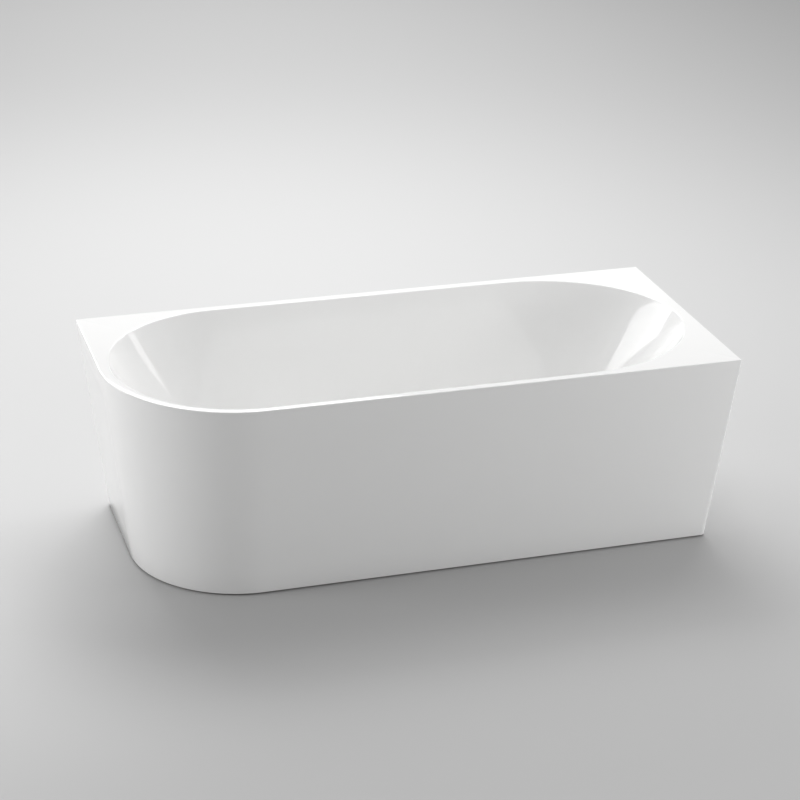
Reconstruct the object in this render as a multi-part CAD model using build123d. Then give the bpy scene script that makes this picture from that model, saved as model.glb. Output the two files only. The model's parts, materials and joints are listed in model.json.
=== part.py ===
from build123d import *
import math
import os

# Freestanding acrylic corner bath, right-hand walls: back and right side stand against the room,
# the front left corner is round. Millimetres, X along the length, Y towards the back wall, Z up,
# origin on the floor under the middle of the rim.

# Overall size
length = 1700.0
width = 750.0
height = 560.0
toe_gap = 5.0

# How far each side leans in between the rim and the lower edge
taper_left = 64.0
taper_right = 42.0
taper_front = 52.0
taper_back = 52.0

# Plan radii of the three tight corners and of the round one, at the rim and at the lower edge
tight_corner_rim = 5.0
tight_corner_foot = 16.0
round_corner_foot = 306.0

# Outer panel
skirt_wall = 5.0
skirt_flange_width = 8.0
skirt_flange_height = 6.0
inner_corner_least = 2.0

# Rim deck and the opening in it
deck_thickness = 8.0
rim_left = 30.0
rim_right = 35.0
rim_front = 25.0
rim_back = 30.0
rim_round = 4.0
lip_round = 6.0
nose_right = 400.0

# Bathing space, with its floor at a height that leaves room for the frame and the trap
floor_height = 130.0
side_lean = 13.5
end_lean = 30.0
floor_round = 80.0
basin_wall = 6.0

# Batten bonded round the inside of the panel's lower edge
batten_lift = 5.0
batten_height = 80.0
batten_thickness = 12.0

# Board bonded under the floor of the bath
board_thickness = 15.0
board_overhang = 60.0
board_margin = 13.0
board_corner = 50.0
board_waste_radius = 64.0

# Steel frame: folded cross bars with the feet, and two square tubes welded under them
cross_size = 25.0
cross_lip = 15.0
cross_wall = 2.0
cross_corner_gap = 30.0
cross_waste_gap = 150.0
cross_right_gap = 338.0
cross_end_gap = 4.0
rail_size = 25.0
rail_wall = 2.0
rail_overhang = 35.0
rail_margin = 48.0

# Angles welded under the ends of the cross bars and held to the batten
bracket_thickness = 3.0
bracket_width = 40.0
bracket_drop = 40.0
bracket_reach = 34.0

# Levelling feet
foot_end_gap = 87.0
stud_radius = 6.0
stud_top_gap = 5.0
stud_fit = 0.05
pad_radius = 30.0
pad_rim_height = 5.0
pad_neck_radius = 13.0
pad_height = 18.0
pad_floor = 8.0
collar_across_flats = 17.0
collar_height = 7.0
nut_across_flats = 18.0
weld_nut_height = 8.0

# Waste in the floor
waste_x = 0.0
recess_radius = 38.0
recess_depth = 3.0
waste_hole_radius = 27.4
gasket_thickness = 2.0
flange_radius = 36.0
flange_thickness = 2.5
flange_hub_radius = 26.8
tail_radius = 23.9
tail_bore = 20.5
tail_length = 16.0
seat_mouth_radius = 26.0
spider_thickness = 3.0
spider_arm_width = 4.0
spider_boss_radius = 9.0
thread_gap = 0.05

# Waste body below the floor
body_flange_radius = 36.0
body_flange_thickness = 3.5
body_wall = 4.5
body_chamber_depth = 43.0
body_funnel_height = 8.0
spigot_radius = 23.0
spigot_bore = 18.0
spigot_length = 8.0
branch_drop = 24.0
branch_wall = 4.0
branch_reach = 52.0
branch_socket = 14.0

# Click-clack plug
plug_radius = 33.0
plug_edge = 2.0
plug_crown = 3.5
plug_travel = 9.5
plug_seat_gap = 0.3
seal_height = 3.1
seal_clearance = 0.6
plug_hub_radius = 12.0
stem_radius = 4.0
stem_length = 42.0
cartridge_radius = 6.0
cartridge_collar_radius = 8.0
cartridge_collar = 4.0
cartridge_rise = 14.0
cartridge_drop = 6.0

# Overflow in the front wall
overflow_x = 0.0
overflow_drop = 90.0
slot_length = 80.0
slot_height = 11.0
trim_length = 118.0
trim_height = 30.0
trim_thickness = 2.0
trim_sleeve_wall = 1.5
trim_sleeve_clearance = 1.0
overflow_flange_thickness = 3.0
overflow_chamber_depth = 17.0
overflow_chamber_wall = 2.0
pipe_radius = 10.0
pipe_wall = 2.0
pipe_offset = 20.5
pipe_socket_wall = 2.0
pipe_socket_reach = 38.0
pipe_socket_stop = 18.0
pipe_bend = 80.0
pipe_gap = 0.1
overflow_nut_length = 18.0
overflow_nut_wall = 3.0

# Low trap under the waste: a stepped box, wet below and tall at the outlet
trap_length = 130.0
trap_width = 56.0
trap_wall = 3.0
trap_floor_gap = 8.0
trap_low_gap = 10.0
trap_step = 34.0
trap_inlet_radius = 20.0
trap_inlet_wall = 2.0
trap_dip_gap = 14.0
trap_top_gap = 12.0
trap_outlet_margin = 2.0
trap_collar_radius = 22.8
trap_collar_height = 4.0
trap_nut_shelf = 4.0
trap_nut_wall = 5.0
drain_pipe_radius = 20.0
drain_fit = 0.2
drain_socket_length = 45.0
drain_socket_radius = 23.0
outlet_nut_wall = 3.0
outlet_nut_length = 20.0
outlet_nut_shelf = 2.0

# Places that follow from the sizes above
middle_y = (rim_front - rim_back) / 2
opening_half_width = (width - rim_front - rim_back) / 2
round_corner_rim = opening_half_width + rim_front
deck_under = height - deck_thickness
floor_level = floor_height
bath_depth = height - floor_height
under_floor = floor_level - basin_wall
recess_level = floor_level - recess_depth
under_recess = recess_level - basin_wall
board_under = under_floor - board_thickness
cross_under = board_under - cross_size
rail_under = cross_under - rail_size
batten_low = toe_gap + batten_lift
batten_top = batten_low + batten_height
wall_slope = math.tan(math.radians(side_lean))
flat_floor_half = (opening_half_width - bath_depth * wall_slope
                   - floor_round * math.tan(math.radians((90 - side_lean) / 2)))
board_width = 2 * (flat_floor_half - board_margin)
rail_offset = board_width / 2 - rail_margin
cross_places = {
    "left": -length / 2 + taper_left + round_corner_foot + cross_corner_gap,
    "middle": waste_x + cross_waste_gap,
    "right": length / 2 - taper_right - cross_right_gap,
}
frame_middle = (cross_places["left"] + cross_places["right"]) / 2
frame_span = cross_places["right"] - cross_places["left"]


def span(x_low, x_high, y_low, y_high, z_low, z_high):
    """A block between the given limits."""
    middle = ((x_low + x_high) / 2, (y_low + y_high) / 2, (z_low + z_high) / 2)
    return Pos(*middle) * Box(x_high - x_low, y_high - y_low, z_high - z_low)


def disc(radius, z_low, z_high, x=0.0, y=0.0):
    """An upright cylinder between two levels."""
    return Pos(x, y, (z_low + z_high) / 2) * Cylinder(radius, z_high - z_low)


def ring(outer, inner, z_low, z_high, x=0.0, y=0.0):
    """An upright tube between two levels."""
    return disc(outer, z_low, z_high, x, y) - disc(inner, z_low - 1, z_high + 1, x, y)


def hexagon(across_flats, z_low, z_high, x=0.0, y=0.0):
    """An upright six-sided prism between two levels."""
    outline = RegularPolygon(across_flats / 2, 6, major_radius=False)
    return Pos(x, y, z_low) * extrude(outline, z_high - z_low)


def turned(points):
    """A body turned about Z from a closed outline of (radius, level) points."""
    outline = Plane.XZ * make_face(Polyline(*points, close=True))
    return revolve(outline, Axis.Z)


def outer_outline(level, inset=0.0):
    """Plan of the bath's outside at a level, with one round and three tight corners."""
    lean = (height - level) / (height - toe_gap)
    left = -length / 2 + taper_left * lean + inset
    right = length / 2 - taper_right * lean - inset
    front = -width / 2 + taper_front * lean + inset
    back = width / 2 - taper_back * lean - inset
    tight = tight_corner_rim + (tight_corner_foot - tight_corner_rim) * lean
    tight = max(tight - inset, inner_corner_least)
    wide = round_corner_rim + (round_corner_foot - round_corner_rim) * lean - inset
    edges = [
        Line((right - tight, back), (left + tight, back)),
        CenterArc((left + tight, back - tight), tight, 90, 90),
        Line((left, back - tight), (left, front + wide)),
        CenterArc((left + wide, front + wide), wide, 180, 90),
        Line((left + wide, front), (right - tight, front)),
        CenterArc((right - tight, front + tight), tight, 270, 90),
        Line((right, front + tight), (right, back - tight)),
        CenterArc((right - tight, back - tight), tight, 0, 90),
    ]
    return Pos(0, 0, level) * Face(Wire(edges))


def outer_form(z_low, z_high, inset=0.0):
    """The tapering outside of the bath between two levels."""
    return loft([outer_outline(z_low, inset), outer_outline(z_high, inset)], ruled=True)


def bath_outline(level, grow=0.0):
    """Plan of the bathing space at a level: two long sides and two half-ellipse ends."""
    drop = height - level
    half = opening_half_width - drop * wall_slope
    share = half / opening_half_width
    half += grow / math.cos(math.radians(side_lean))
    end_in = drop * math.tan(math.radians(end_lean)) - grow / math.cos(math.radians(end_lean))
    left = -length / 2 + rim_left + end_in
    right = length / 2 - rim_right - end_in
    nose_a = opening_half_width * share + grow
    nose_b = nose_right * share + grow
    back = middle_y + half
    front = middle_y - half
    edges = [
        Line((right - nose_b, back), (left + nose_a, back)),
        EllipticalCenterArc((left + nose_a, middle_y), nose_a, half, 90, arc_size=180),
        Line((left + nose_a, front), (right - nose_b, front)),
        EllipticalCenterArc((right - nose_b, middle_y), nose_b, half, 270, arc_size=180),
    ]
    return Pos(0, 0, level) * Face(Wire(edges))


def bath_form(grow=0.0):
    """The bathing space as a solid, or with a wall's thickness added all round."""
    low = floor_level - grow
    form = loft([bath_outline(low, grow), bath_outline(height, grow)], ruled=True)
    floor_edges = form.faces().sort_by(Axis.Z)[0].edges()
    return fillet(floor_edges, floor_round + grow)


def wall_plane():
    """Plane on the front wall's inner face at the overflow: Y up the wall, Z into the bath."""
    lean = math.radians(side_lean)
    level = height - overflow_drop
    y = -width / 2 + rim_front + overflow_drop * wall_slope
    normal = (0, math.cos(lean), math.sin(lean))
    return Plane(origin=(overflow_x, y, level), x_dir=(-1, 0, 0), z_dir=normal)


def slab(long, high, z_low, z_high):
    """A round-ended plate on the front wall, between two heights above its inner face."""
    return Pos(0, 0, z_low) * extrude(SlotOverall(long, high), z_high - z_low)


def sleeve_size(clearance):
    """Length and height of the overflow's sleeve, or of a hole round it."""
    grow = 2 * (trim_sleeve_wall + clearance)
    return slot_length + grow, slot_height + grow


def basin_shell():
    deck = outer_form(deck_under, height)
    bowl = bath_form(basin_wall)
    dish = disc(recess_radius + basin_wall, under_recess, floor_level, waste_x, middle_y)
    shell = deck + bowl + dish - bath_form()
    shell -= disc(recess_radius, recess_level, floor_level + 1, waste_x, middle_y)
    shell -= disc(waste_hole_radius, under_recess - 1, floor_level, waste_x, middle_y)
    opening = slab(*sleeve_size(trim_sleeve_clearance), -2 * basin_wall, basin_wall)
    shell -= wall_plane() * opening
    rim_face = shell.faces().sort_by(Axis.Z)[-1]
    shell = fillet(rim_face.outer_wire().edges(), rim_round)
    rim_face = shell.faces().sort_by(Axis.Z)[-1]
    return fillet(rim_face.inner_wires()[0].edges(), lip_round)


def skirt_shell():
    panel = outer_form(toe_gap, deck_under) - skirt_inside()
    flange_low = deck_under - skirt_flange_height
    flange = outer_form(flange_low, deck_under, skirt_wall / 2)
    flange -= outer_form(flange_low - 1, deck_under + 1, skirt_wall + skirt_flange_width)
    return panel + flange


def batten_inset():
    """How far the batten's upright inner face stands in from the bath's outside."""
    return skirt_wall + batten_thickness


def skirt_inside():
    """The hollow of the outer panel, a little taller than the panel."""
    return outer_form(toe_gap - 1, deck_under + 1, skirt_wall)


def skirt_batten():
    """The strip bonded into the panel, upright on its inner side."""
    body = skirt_inside() & span(-length, length, -width, width, batten_low, batten_top)
    return body - extrude(outer_outline(batten_low, batten_inset()), batten_height + 1)


def batten_face(side):
    """Y of the batten's inner face at the front (-1) or the back (1)."""
    lean = (height - batten_low) / (height - toe_gap)
    taper = taper_front if side < 0 else taper_back
    return side * (width / 2 - taper * lean - batten_inset())


def cross_end(side):
    """Y of the cross bars' front (-1) or back (1) end."""
    return batten_face(side) - side * cross_end_gap


def foot_y(side):
    """Y of the front (-1) or back (1) row of feet."""
    return cross_end(side) - side * foot_end_gap


def foot_places():
    """Places of the six feet, numbered from the left, front before back."""
    return [(x, foot_y(side)) for x in cross_places.values() for side in (-1, 1)]


def base_board():
    outline = RectangleRounded(frame_span + 2 * board_overhang, board_width, board_corner)
    board = Pos(frame_middle, middle_y, board_under) * extrude(outline, board_thickness)
    return board - disc(board_waste_radius, board_under - 1, under_floor + 1, waste_x, middle_y)


def frame_rail(side):
    long = frame_span + 2 * rail_overhang
    inner_size = rail_size - 2 * rail_wall
    section = Rectangle(rail_size, rail_size) - Rectangle(inner_size, inner_size)
    tube = Plane.YZ * Pos(0, 0, -long / 2) * extrude(section, long)
    return Pos(frame_middle, side * rail_offset, rail_under + rail_size / 2) * tube


def hat_section():
    """Section of a cross bar: a trough with a lip turned out along each top edge."""
    half = cross_size / 2
    right = [
        (half, 0), (half, cross_size - cross_wall), (half + cross_lip, cross_size - cross_wall),
        (half + cross_lip, cross_size), (half - cross_wall, cross_size), (half - cross_wall, cross_wall),
    ]
    left = [(-x, z) for x, z in reversed(right)]
    return make_face(Polyline(*right, *left, close=True))


def frame_cross(x):
    """One cross bar with the two feet's nuts welded under it."""
    long = cross_end(1) - cross_end(-1)
    bar = Pos(x, cross_end(1), cross_under) * extrude(Plane.XZ * hat_section(), long)
    nut_under = cross_under - weld_nut_height
    for side in (-1, 1):
        bar += hexagon(nut_across_flats, nut_under, cross_under, x, foot_y(side))
        bar -= disc(stud_radius + stud_fit, nut_under - 1, cross_under + cross_wall + 1, x, foot_y(side))
    return bar


def bracket_places():
    """Places of the six angles: the cross bar's X and the side it points to."""
    return [(x, side) for x in cross_places.values() for side in (-1, 1)]


def skirt_brackets():
    brackets = []
    for x, side in bracket_places():
        face = batten_face(side)
        x_low, x_high = x - bracket_width / 2, x + bracket_width / 2
        leg = sorted((face, face - side * bracket_thickness))
        foot = sorted((face, face - side * bracket_reach))
        angle = span(x_low, x_high, *leg, cross_under - bracket_drop, cross_under)
        angle += span(x_low, x_high, *foot, cross_under - bracket_thickness, cross_under)
        brackets.append(angle)
    return brackets


def foot_pad(x, y):
    outline = [
        (0, 0), (pad_radius, 0), (pad_radius, pad_rim_height),
        (pad_neck_radius, pad_height), (0, pad_height),
    ]
    pad = turned(outline) - disc(stud_radius + stud_fit, pad_floor, pad_height + 1)
    return Pos(x, y, 0) * pad


def foot_stud(x, y):
    stud = disc(stud_radius, pad_floor, under_floor - stud_top_gap)
    stud += hexagon(collar_across_flats, pad_height, pad_height + collar_height)
    return Pos(x, y, 0) * stud


def at_waste(piece):
    return Pos(waste_x, middle_y, 0) * piece


# Levels of the waste, from the recess in the floor downwards
flange_under = recess_level + gasket_thickness
flange_top = flange_under + flange_thickness
tail_end = under_recess - gasket_thickness - tail_length
body_top = under_recess - gasket_thickness
chamber_floor = body_top - body_chamber_depth
spigot_top = chamber_floor - body_funnel_height
spigot_end = spigot_top - spigot_length
branch_level = body_top - branch_drop
seat_depth = seat_mouth_radius - tail_bore
cap_closed = flange_top + plug_seat_gap
cap_open = cap_closed + plug_travel
trap_high_top = board_under - trap_top_gap


def waste_gasket_upper():
    inner = waste_hole_radius + thread_gap
    return at_waste(ring(flange_radius - 1, inner, recess_level, flange_under))


def waste_gasket_lower():
    return at_waste(ring(body_flange_radius, tail_radius + thread_gap, body_top, under_recess))


def waste_flange():
    outline = [
        (tail_bore, tail_end), (tail_radius, tail_end), (tail_radius, under_recess + thread_gap),
        (flange_hub_radius, under_recess + thread_gap), (flange_hub_radius, flange_under),
        (flange_radius, flange_under), (flange_radius, flange_under + 1),
        (flange_radius - 2.5, flange_top), (seat_mouth_radius, flange_top),
        (tail_bore, flange_top - seat_depth),
    ]
    flange = turned(outline)
    spider_top = tail_end + spider_thickness
    boss = disc(spider_boss_radius, tail_end, spider_top)
    for turn in (0, 90):
        arm = Box(2 * tail_bore + 2, spider_arm_width, spider_thickness)
        boss += Pos(0, 0, tail_end + spider_thickness / 2) * Rot(0, 0, turn) * arm
    boss -= disc(cartridge_radius + thread_gap, tail_end - 1, spider_top + 1)
    return at_waste(flange + boss)


def waste_body():
    chamber = tail_radius + thread_gap
    wall = chamber + body_wall
    outline = [
        (chamber, body_top), (body_flange_radius, body_top),
        (body_flange_radius, body_top - body_flange_thickness),
        (wall, body_top - body_flange_thickness), (wall, chamber_floor),
        (spigot_radius, spigot_top), (spigot_radius, spigot_end),
        (spigot_bore, spigot_end), (spigot_bore, spigot_top), (chamber, chamber_floor),
    ]
    body = turned(outline)
    bore = pipe_radius + pipe_gap
    along = Pos(0, -branch_reach, branch_level) * Rot(-90, 0, 0)
    branch = along * disc(bore + branch_wall, 0, branch_reach - chamber)
    branch -= along * disc(pipe_radius - pipe_wall, -1, branch_reach)
    branch -= along * disc(bore, -1, branch_socket)
    body -= along * disc(pipe_radius - pipe_wall, 0, branch_reach - chamber / 2)
    core = disc(chamber, tail_end - 1, body_top)
    return at_waste(body + (branch - core))


def plug_cap():
    outline = [
        (0, cap_open), (plug_radius, cap_open), (plug_radius, cap_open + plug_edge),
        (plug_radius * 0.6, cap_open + plug_edge + plug_crown * 0.7),
        (0, cap_open + plug_edge + plug_crown * 0.8),
    ]
    cap = turned(outline)
    hub = ring(plug_hub_radius, stem_radius + thread_gap, cap_open - seal_height - 1, cap_open)
    return at_waste(cap + hub)


def plug_seal():
    top = seat_mouth_radius + plug_seat_gap - seal_clearance
    outline = [
        (plug_hub_radius + thread_gap, cap_open - seal_height),
        (top - seal_height, cap_open - seal_height), (top, cap_open),
        (plug_hub_radius + thread_gap, cap_open),
    ]
    return at_waste(turned(outline))


def plug_stem():
    stem = disc(stem_radius, cap_open - stem_length, cap_open)
    return at_waste(chamfer(stem.edges().group_by(Axis.Z)[0], 1))


def plug_cartridge():
    spider_top = tail_end + spider_thickness
    sleeve = disc(cartridge_radius, tail_end - cartridge_drop, spider_top + cartridge_rise)
    sleeve += disc(cartridge_collar_radius, spider_top, spider_top + cartridge_collar)
    bore = stem_radius + stud_fit
    return at_waste(sleeve - disc(bore, tail_end - cartridge_drop - 1, spider_top + cartridge_rise + 1))


# Heights of the overflow's pieces above the front wall's inner face
wall_outer = -basin_wall
overflow_flange_top = wall_outer - gasket_thickness
overflow_flange_back = overflow_flange_top - overflow_flange_thickness


def overflow_trim():
    long, high = sleeve_size(0)
    trim = slab(trim_length, trim_height, 0, trim_thickness)
    trim = chamfer(trim.edges().group_by(Axis.Z)[-1], 0.8)
    trim += slab(long, high, wall_outer - 1, 0)
    trim -= slab(slot_length, slot_height, wall_outer - 2, trim_thickness + 1)
    return wall_plane() * trim


def overflow_gasket():
    gasket = slab(trim_length, trim_height, overflow_flange_top, wall_outer)
    gasket -= slab(*sleeve_size(trim_sleeve_clearance), overflow_flange_top - 1, wall_outer + 1)
    return wall_plane() * gasket


def socket_direction(piece, start):
    """Place an upright piece on the pipe's line, pointing up the wall from a distance below the slot."""
    return Pos(0, -start, -pipe_offset) * Rot(-90, 0, 0) * piece


def overflow_body():
    long, high = sleeve_size(trim_sleeve_clearance)
    chamber_back = overflow_flange_top - overflow_chamber_depth - overflow_chamber_wall
    shell_long = long + 2 * overflow_chamber_wall
    shell_high = high + 2 * overflow_chamber_wall
    body = slab(trim_length, trim_height, overflow_flange_back, overflow_flange_top)
    body += slab(shell_long, shell_high, chamber_back, overflow_flange_back)
    bore = pipe_radius + pipe_gap
    body += socket_direction(disc(bore + pipe_socket_wall, 0, pipe_socket_reach), pipe_socket_reach)
    body -= slab(long, high, chamber_back + overflow_chamber_wall, overflow_flange_top + 1)
    body -= socket_direction(disc(bore, -1, pipe_socket_reach - pipe_socket_stop), pipe_socket_reach)
    body -= socket_direction(disc(pipe_radius - pipe_wall, 0, pipe_socket_reach), pipe_socket_reach)
    return wall_plane() * body


def pipe_route():
    """The overflow pipe's centre line: along under the floor, then up between the two walls."""
    start = Vector(overflow_x, middle_y - branch_reach + branch_socket, branch_level)
    plane = wall_plane()
    top = plane.from_local_coords(Vector(0, -pipe_socket_stop, -pipe_offset))
    up = plane.y_dir
    corner = top - up * ((top.Z - branch_level) / up.Z)
    return FilletPolyline(start, corner, top, radius=pipe_bend)


def overflow_pipe():
    route = pipe_route()
    section = Plane(origin=route @ 0, z_dir=route % 0) * (Circle(pipe_radius) - Circle(pipe_radius - pipe_wall))
    return sweep(section, path=route)


def coupling_nut(bore, passage, wall, shelf, long):
    """An upright hexagonal coupling nut with a shelf at its lower end."""
    nut = hexagon(2 * (bore + wall), 0, long)
    nut -= disc(bore, shelf, long + 1)
    return nut - disc(passage, -1, long)


def overflow_nut():
    passage = pipe_radius + pipe_gap
    along = Pos(0, -branch_reach - overflow_nut_wall, branch_level) * Rot(-90, 0, 0)
    nut = coupling_nut(passage + branch_wall + thread_gap, passage, overflow_nut_wall,
                       overflow_nut_wall, overflow_nut_length)
    return at_waste(along * nut)


def trap_outline(shrink=0.0):
    """Plan of the trap, round-ended, its inlet end under the waste."""
    outline = SlotOverall(trap_length - 2 * shrink, trap_width - 2 * shrink)
    return Pos((trap_width - trap_length) / 2, 0, 0) * outline


def trap_form(shrink=0.0):
    """The trap's stepped form: low under the waste, tall towards the outlet."""
    low_top = spigot_end - trap_low_gap - shrink
    high_top = trap_high_top - shrink
    tall = Pos(0, 0, trap_floor_gap + shrink) * extrude(trap_outline(shrink), high_top - trap_floor_gap - shrink)
    return tall - span(-trap_step - shrink, trap_width, -trap_width, trap_width, low_top, high_top + 1)


def outlet_along(piece):
    """Place an upright piece on the trap's outlet line, pointing away from the waste."""
    level = trap_high_top - drain_socket_radius - trap_outlet_margin
    return Pos(-trap_length + trap_width / 2, 0, level) * Rot(0, -90, 0) * piece


def trap_body():
    inlet_bore = trap_inlet_radius - trap_inlet_wall
    body = trap_form() - trap_form(trap_wall)
    dip_end = trap_floor_gap + trap_wall + trap_dip_gap
    body += disc(trap_inlet_radius, dip_end, spigot_end)
    body += disc(trap_collar_radius, spigot_end - trap_collar_height, spigot_end)
    body -= disc(inlet_bore, dip_end - 1, spigot_end + 1)
    body += outlet_along(disc(drain_socket_radius, -trap_wall, drain_socket_length))
    pipe_stop = drain_socket_length / 4
    body -= outlet_along(disc(drain_pipe_radius - trap_wall, -trap_width / 2, pipe_stop + 1))
    body -= outlet_along(disc(drain_pipe_radius + drain_fit, pipe_stop, drain_socket_length + 1))
    return at_waste(body)


def trap_inlet_nut():
    nut_low = spigot_end - trap_collar_height - trap_nut_shelf
    long = trap_nut_shelf + trap_collar_height + spigot_length
    nut = coupling_nut(spigot_radius + thread_gap, trap_inlet_radius + pipe_gap, trap_nut_wall,
                       trap_nut_shelf, long)
    return at_waste(Pos(0, 0, nut_low) * nut)


def trap_outlet_nut():
    nut = coupling_nut(drain_socket_radius + thread_gap, drain_pipe_radius + 2 * drain_fit,
                       outlet_nut_wall, outlet_nut_shelf, outlet_nut_length)
    turned_round = Pos(0, 0, drain_socket_length + outlet_nut_shelf) * Rot(180, 0, 0) * nut
    return at_waste(outlet_along(turned_round))


def write(name, piece):
    """Write one named piece, or a group of separate solids, as a STEP file."""
    if isinstance(piece, list):
        solids = [solid for item in piece for solid in item.solids()]
    else:
        solids = piece.solids()
    shape = solids[0] if len(solids) == 1 else Compound(solids)
    shape.label = name
    export_step(shape, f"parts/{name}.step")


def all_pieces():
    pieces = {
        "basin_shell": basin_shell(),
        "skirt_shell": skirt_shell(),
        "skirt_batten": skirt_batten(),
        "base_board": base_board(),
        "frame_rail_front": frame_rail(-1),
        "frame_rail_back": frame_rail(1),
        "skirt_brackets": skirt_brackets(),
        "waste_flange": waste_flange(),
        "waste_gasket_upper": waste_gasket_upper(),
        "waste_gasket_lower": waste_gasket_lower(),
        "waste_body": waste_body(),
        "plug_cap": plug_cap(),
        "plug_seal": plug_seal(),
        "plug_stem": plug_stem(),
        "plug_cartridge": plug_cartridge(),
        "overflow_trim": overflow_trim(),
        "overflow_gasket": overflow_gasket(),
        "overflow_body": overflow_body(),
        "overflow_pipe": overflow_pipe(),
        "overflow_nut": overflow_nut(),
        "trap_body": trap_body(),
        "trap_inlet_nut": trap_inlet_nut(),
        "trap_outlet_nut": trap_outlet_nut(),
    }
    for name, x in cross_places.items():
        pieces[f"frame_cross_{name}"] = frame_cross(x)
    for number, (x, y) in enumerate(foot_places(), start=1):
        pieces[f"foot_pad_{number}"] = foot_pad(x, y)
        pieces[f"foot_stud_{number}"] = foot_stud(x, y)
    return pieces


os.makedirs("parts", exist_ok=True)
for piece_name, piece_shape in all_pieces().items():
    write(piece_name, piece_shape)
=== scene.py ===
# %% [markdown]
# A freestanding corner bath, dressed in Blender.
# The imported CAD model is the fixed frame: it holds the real sizes and the moving bodies. Each cell
# makes one piece or finish of the bath and hangs it on the body that carries it.

# %% Load the frame
import json
import math

import bmesh
import bpy
import numpy as np
from mathutils import Matrix, Vector


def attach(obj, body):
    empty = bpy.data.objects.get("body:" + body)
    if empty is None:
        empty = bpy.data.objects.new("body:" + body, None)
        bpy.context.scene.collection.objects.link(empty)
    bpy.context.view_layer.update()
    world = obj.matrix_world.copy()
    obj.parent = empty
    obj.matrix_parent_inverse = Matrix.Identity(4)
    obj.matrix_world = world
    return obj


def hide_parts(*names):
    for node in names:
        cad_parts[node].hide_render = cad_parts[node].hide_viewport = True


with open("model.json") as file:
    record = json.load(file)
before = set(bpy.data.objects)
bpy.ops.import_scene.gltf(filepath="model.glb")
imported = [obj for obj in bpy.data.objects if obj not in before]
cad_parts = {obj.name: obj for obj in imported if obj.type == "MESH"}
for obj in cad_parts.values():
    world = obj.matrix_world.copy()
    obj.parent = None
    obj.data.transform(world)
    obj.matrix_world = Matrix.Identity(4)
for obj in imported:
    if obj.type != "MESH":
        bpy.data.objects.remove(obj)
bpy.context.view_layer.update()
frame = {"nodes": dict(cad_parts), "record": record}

MM = 0.001
WELD, FINE_WELD = 0.01 * MM, 0.001 * MM
SLOTS = {part["node"]: part["material_slot"] for part in frame["record"]["subparts"]}

# %% [markdown]
# The camera comes first, because every later choice is judged through it. The photograph was taken with
# a long lens from the front, a little to the left and well above the rim. The three columns below are
# the camera's own right, up and back directions, worked out from the edges of the rim and the base.

# %% Camera
CAMERA_PLACE = (-1.72008, -5.42228, 2.897)
CAMERA_RIGHT = (0.95578, -0.29355, 0.01762)
CAMERA_UP = (0.10360, 0.39217, 0.91404)
CAMERA_BACK = (-0.27523, -0.87180, 0.40524)
LENS_MM = 100.0
SENSOR_MM = 36.0


def new_object(name, data):
    item = bpy.data.objects.new(name, data)
    bpy.context.scene.collection.objects.link(item)
    return item


def add_camera():
    data = bpy.data.cameras.new("camera")
    data.lens = LENS_MM
    data.sensor_width = SENSOR_MM
    camera = new_object("camera", data)
    turn = Matrix((CAMERA_RIGHT, CAMERA_UP, CAMERA_BACK)).transposed().to_4x4()
    camera.matrix_world = Matrix.Translation(CAMERA_PLACE) @ turn
    bpy.context.scene.camera = camera


add_camera()
print("camera at", CAMERA_PLACE)

# %% [markdown]
# Materials and Geometry Nodes are both trees of nodes, and writing them takes three moves: make a node,
# set what it does, and feed its inputs. An input takes a plain value or another node's output, so one
# helper handles both, and everything below is built with it.

# %% Node helpers


def feed(tree, made, inputs):
    """Give inputs of a node their values, or the outputs that drive them."""
    for key, term in inputs.items():
        if isinstance(term, bpy.types.NodeSocket):
            tree.links.new(term, made.inputs[key])
        else:
            made.inputs[key].default_value = term


def node(tree, kind, inputs=None, **settings):
    """Add a node with its settings and its inputs fed; gives its outputs."""
    made = tree.nodes.new(kind)
    for key, value in settings.items():
        setattr(made, key, value)
    feed(tree, made, inputs or {})
    return made.outputs


def calc(tree, operation, *terms):
    """The result of a maths node; each term is a number or another node's output."""
    return node(tree, "ShaderNodeMath", dict(enumerate(terms)), operation=operation)[0]


def new_material(name):
    """A material, with its tree and its shader."""
    material = bpy.data.materials.new(name)
    material.use_nodes = True
    return material, material.node_tree, material.node_tree.nodes["Principled BSDF"]


# %% [markdown]
# The studio floor is one plain sheet whose grey is painted darker in front of the bath and lighter behind
# it: painted shade in front, standing in for light that falls off towards the camera. A map from the
# floor's own Y to that grey does it, with no edge that the gloss could mirror.

# %% Floor and world
FLOOR_HALF = 30.0
# painted shade: the floor's grey runs from darker in front to lighter behind
FLOOR_FRONT_SHADED, FLOOR_BACK_LIT = 0.52, 0.57
FLOOR_SHADE_FADE = (-1.6, 1.6)
FLOOR_ROUGHNESS = 0.6
WORLD_GREY, WORLD_STRENGTH = 0.86, 0.46


def floor_paper():
    material, tree, shader = new_material("floor_paper")
    where = node(tree, "ShaderNodeTexCoord")["Object"]
    depth = node(tree, "ShaderNodeSeparateXYZ", {0: where})["Y"]
    shade_fade = node(tree, "ShaderNodeMapRange",
                {"Value": depth, "From Min": FLOOR_SHADE_FADE[0], "From Max": FLOOR_SHADE_FADE[1]},
                interpolation_type="SMOOTHSTEP")
    # painted shade: darker grey in front, lighter grey behind
    shade_greys = {"Factor": shade_fade[0], "A": (*[FLOOR_FRONT_SHADED] * 3, 1), "B": (*[FLOOR_BACK_LIT] * 3, 1)}
    shaded_grey = node(tree, "ShaderNodeMix", shade_greys, data_type="RGBA")["Result"]
    feed(tree, shader, {"Base Color": shaded_grey, "Roughness": FLOOR_ROUGHNESS})
    return material


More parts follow.
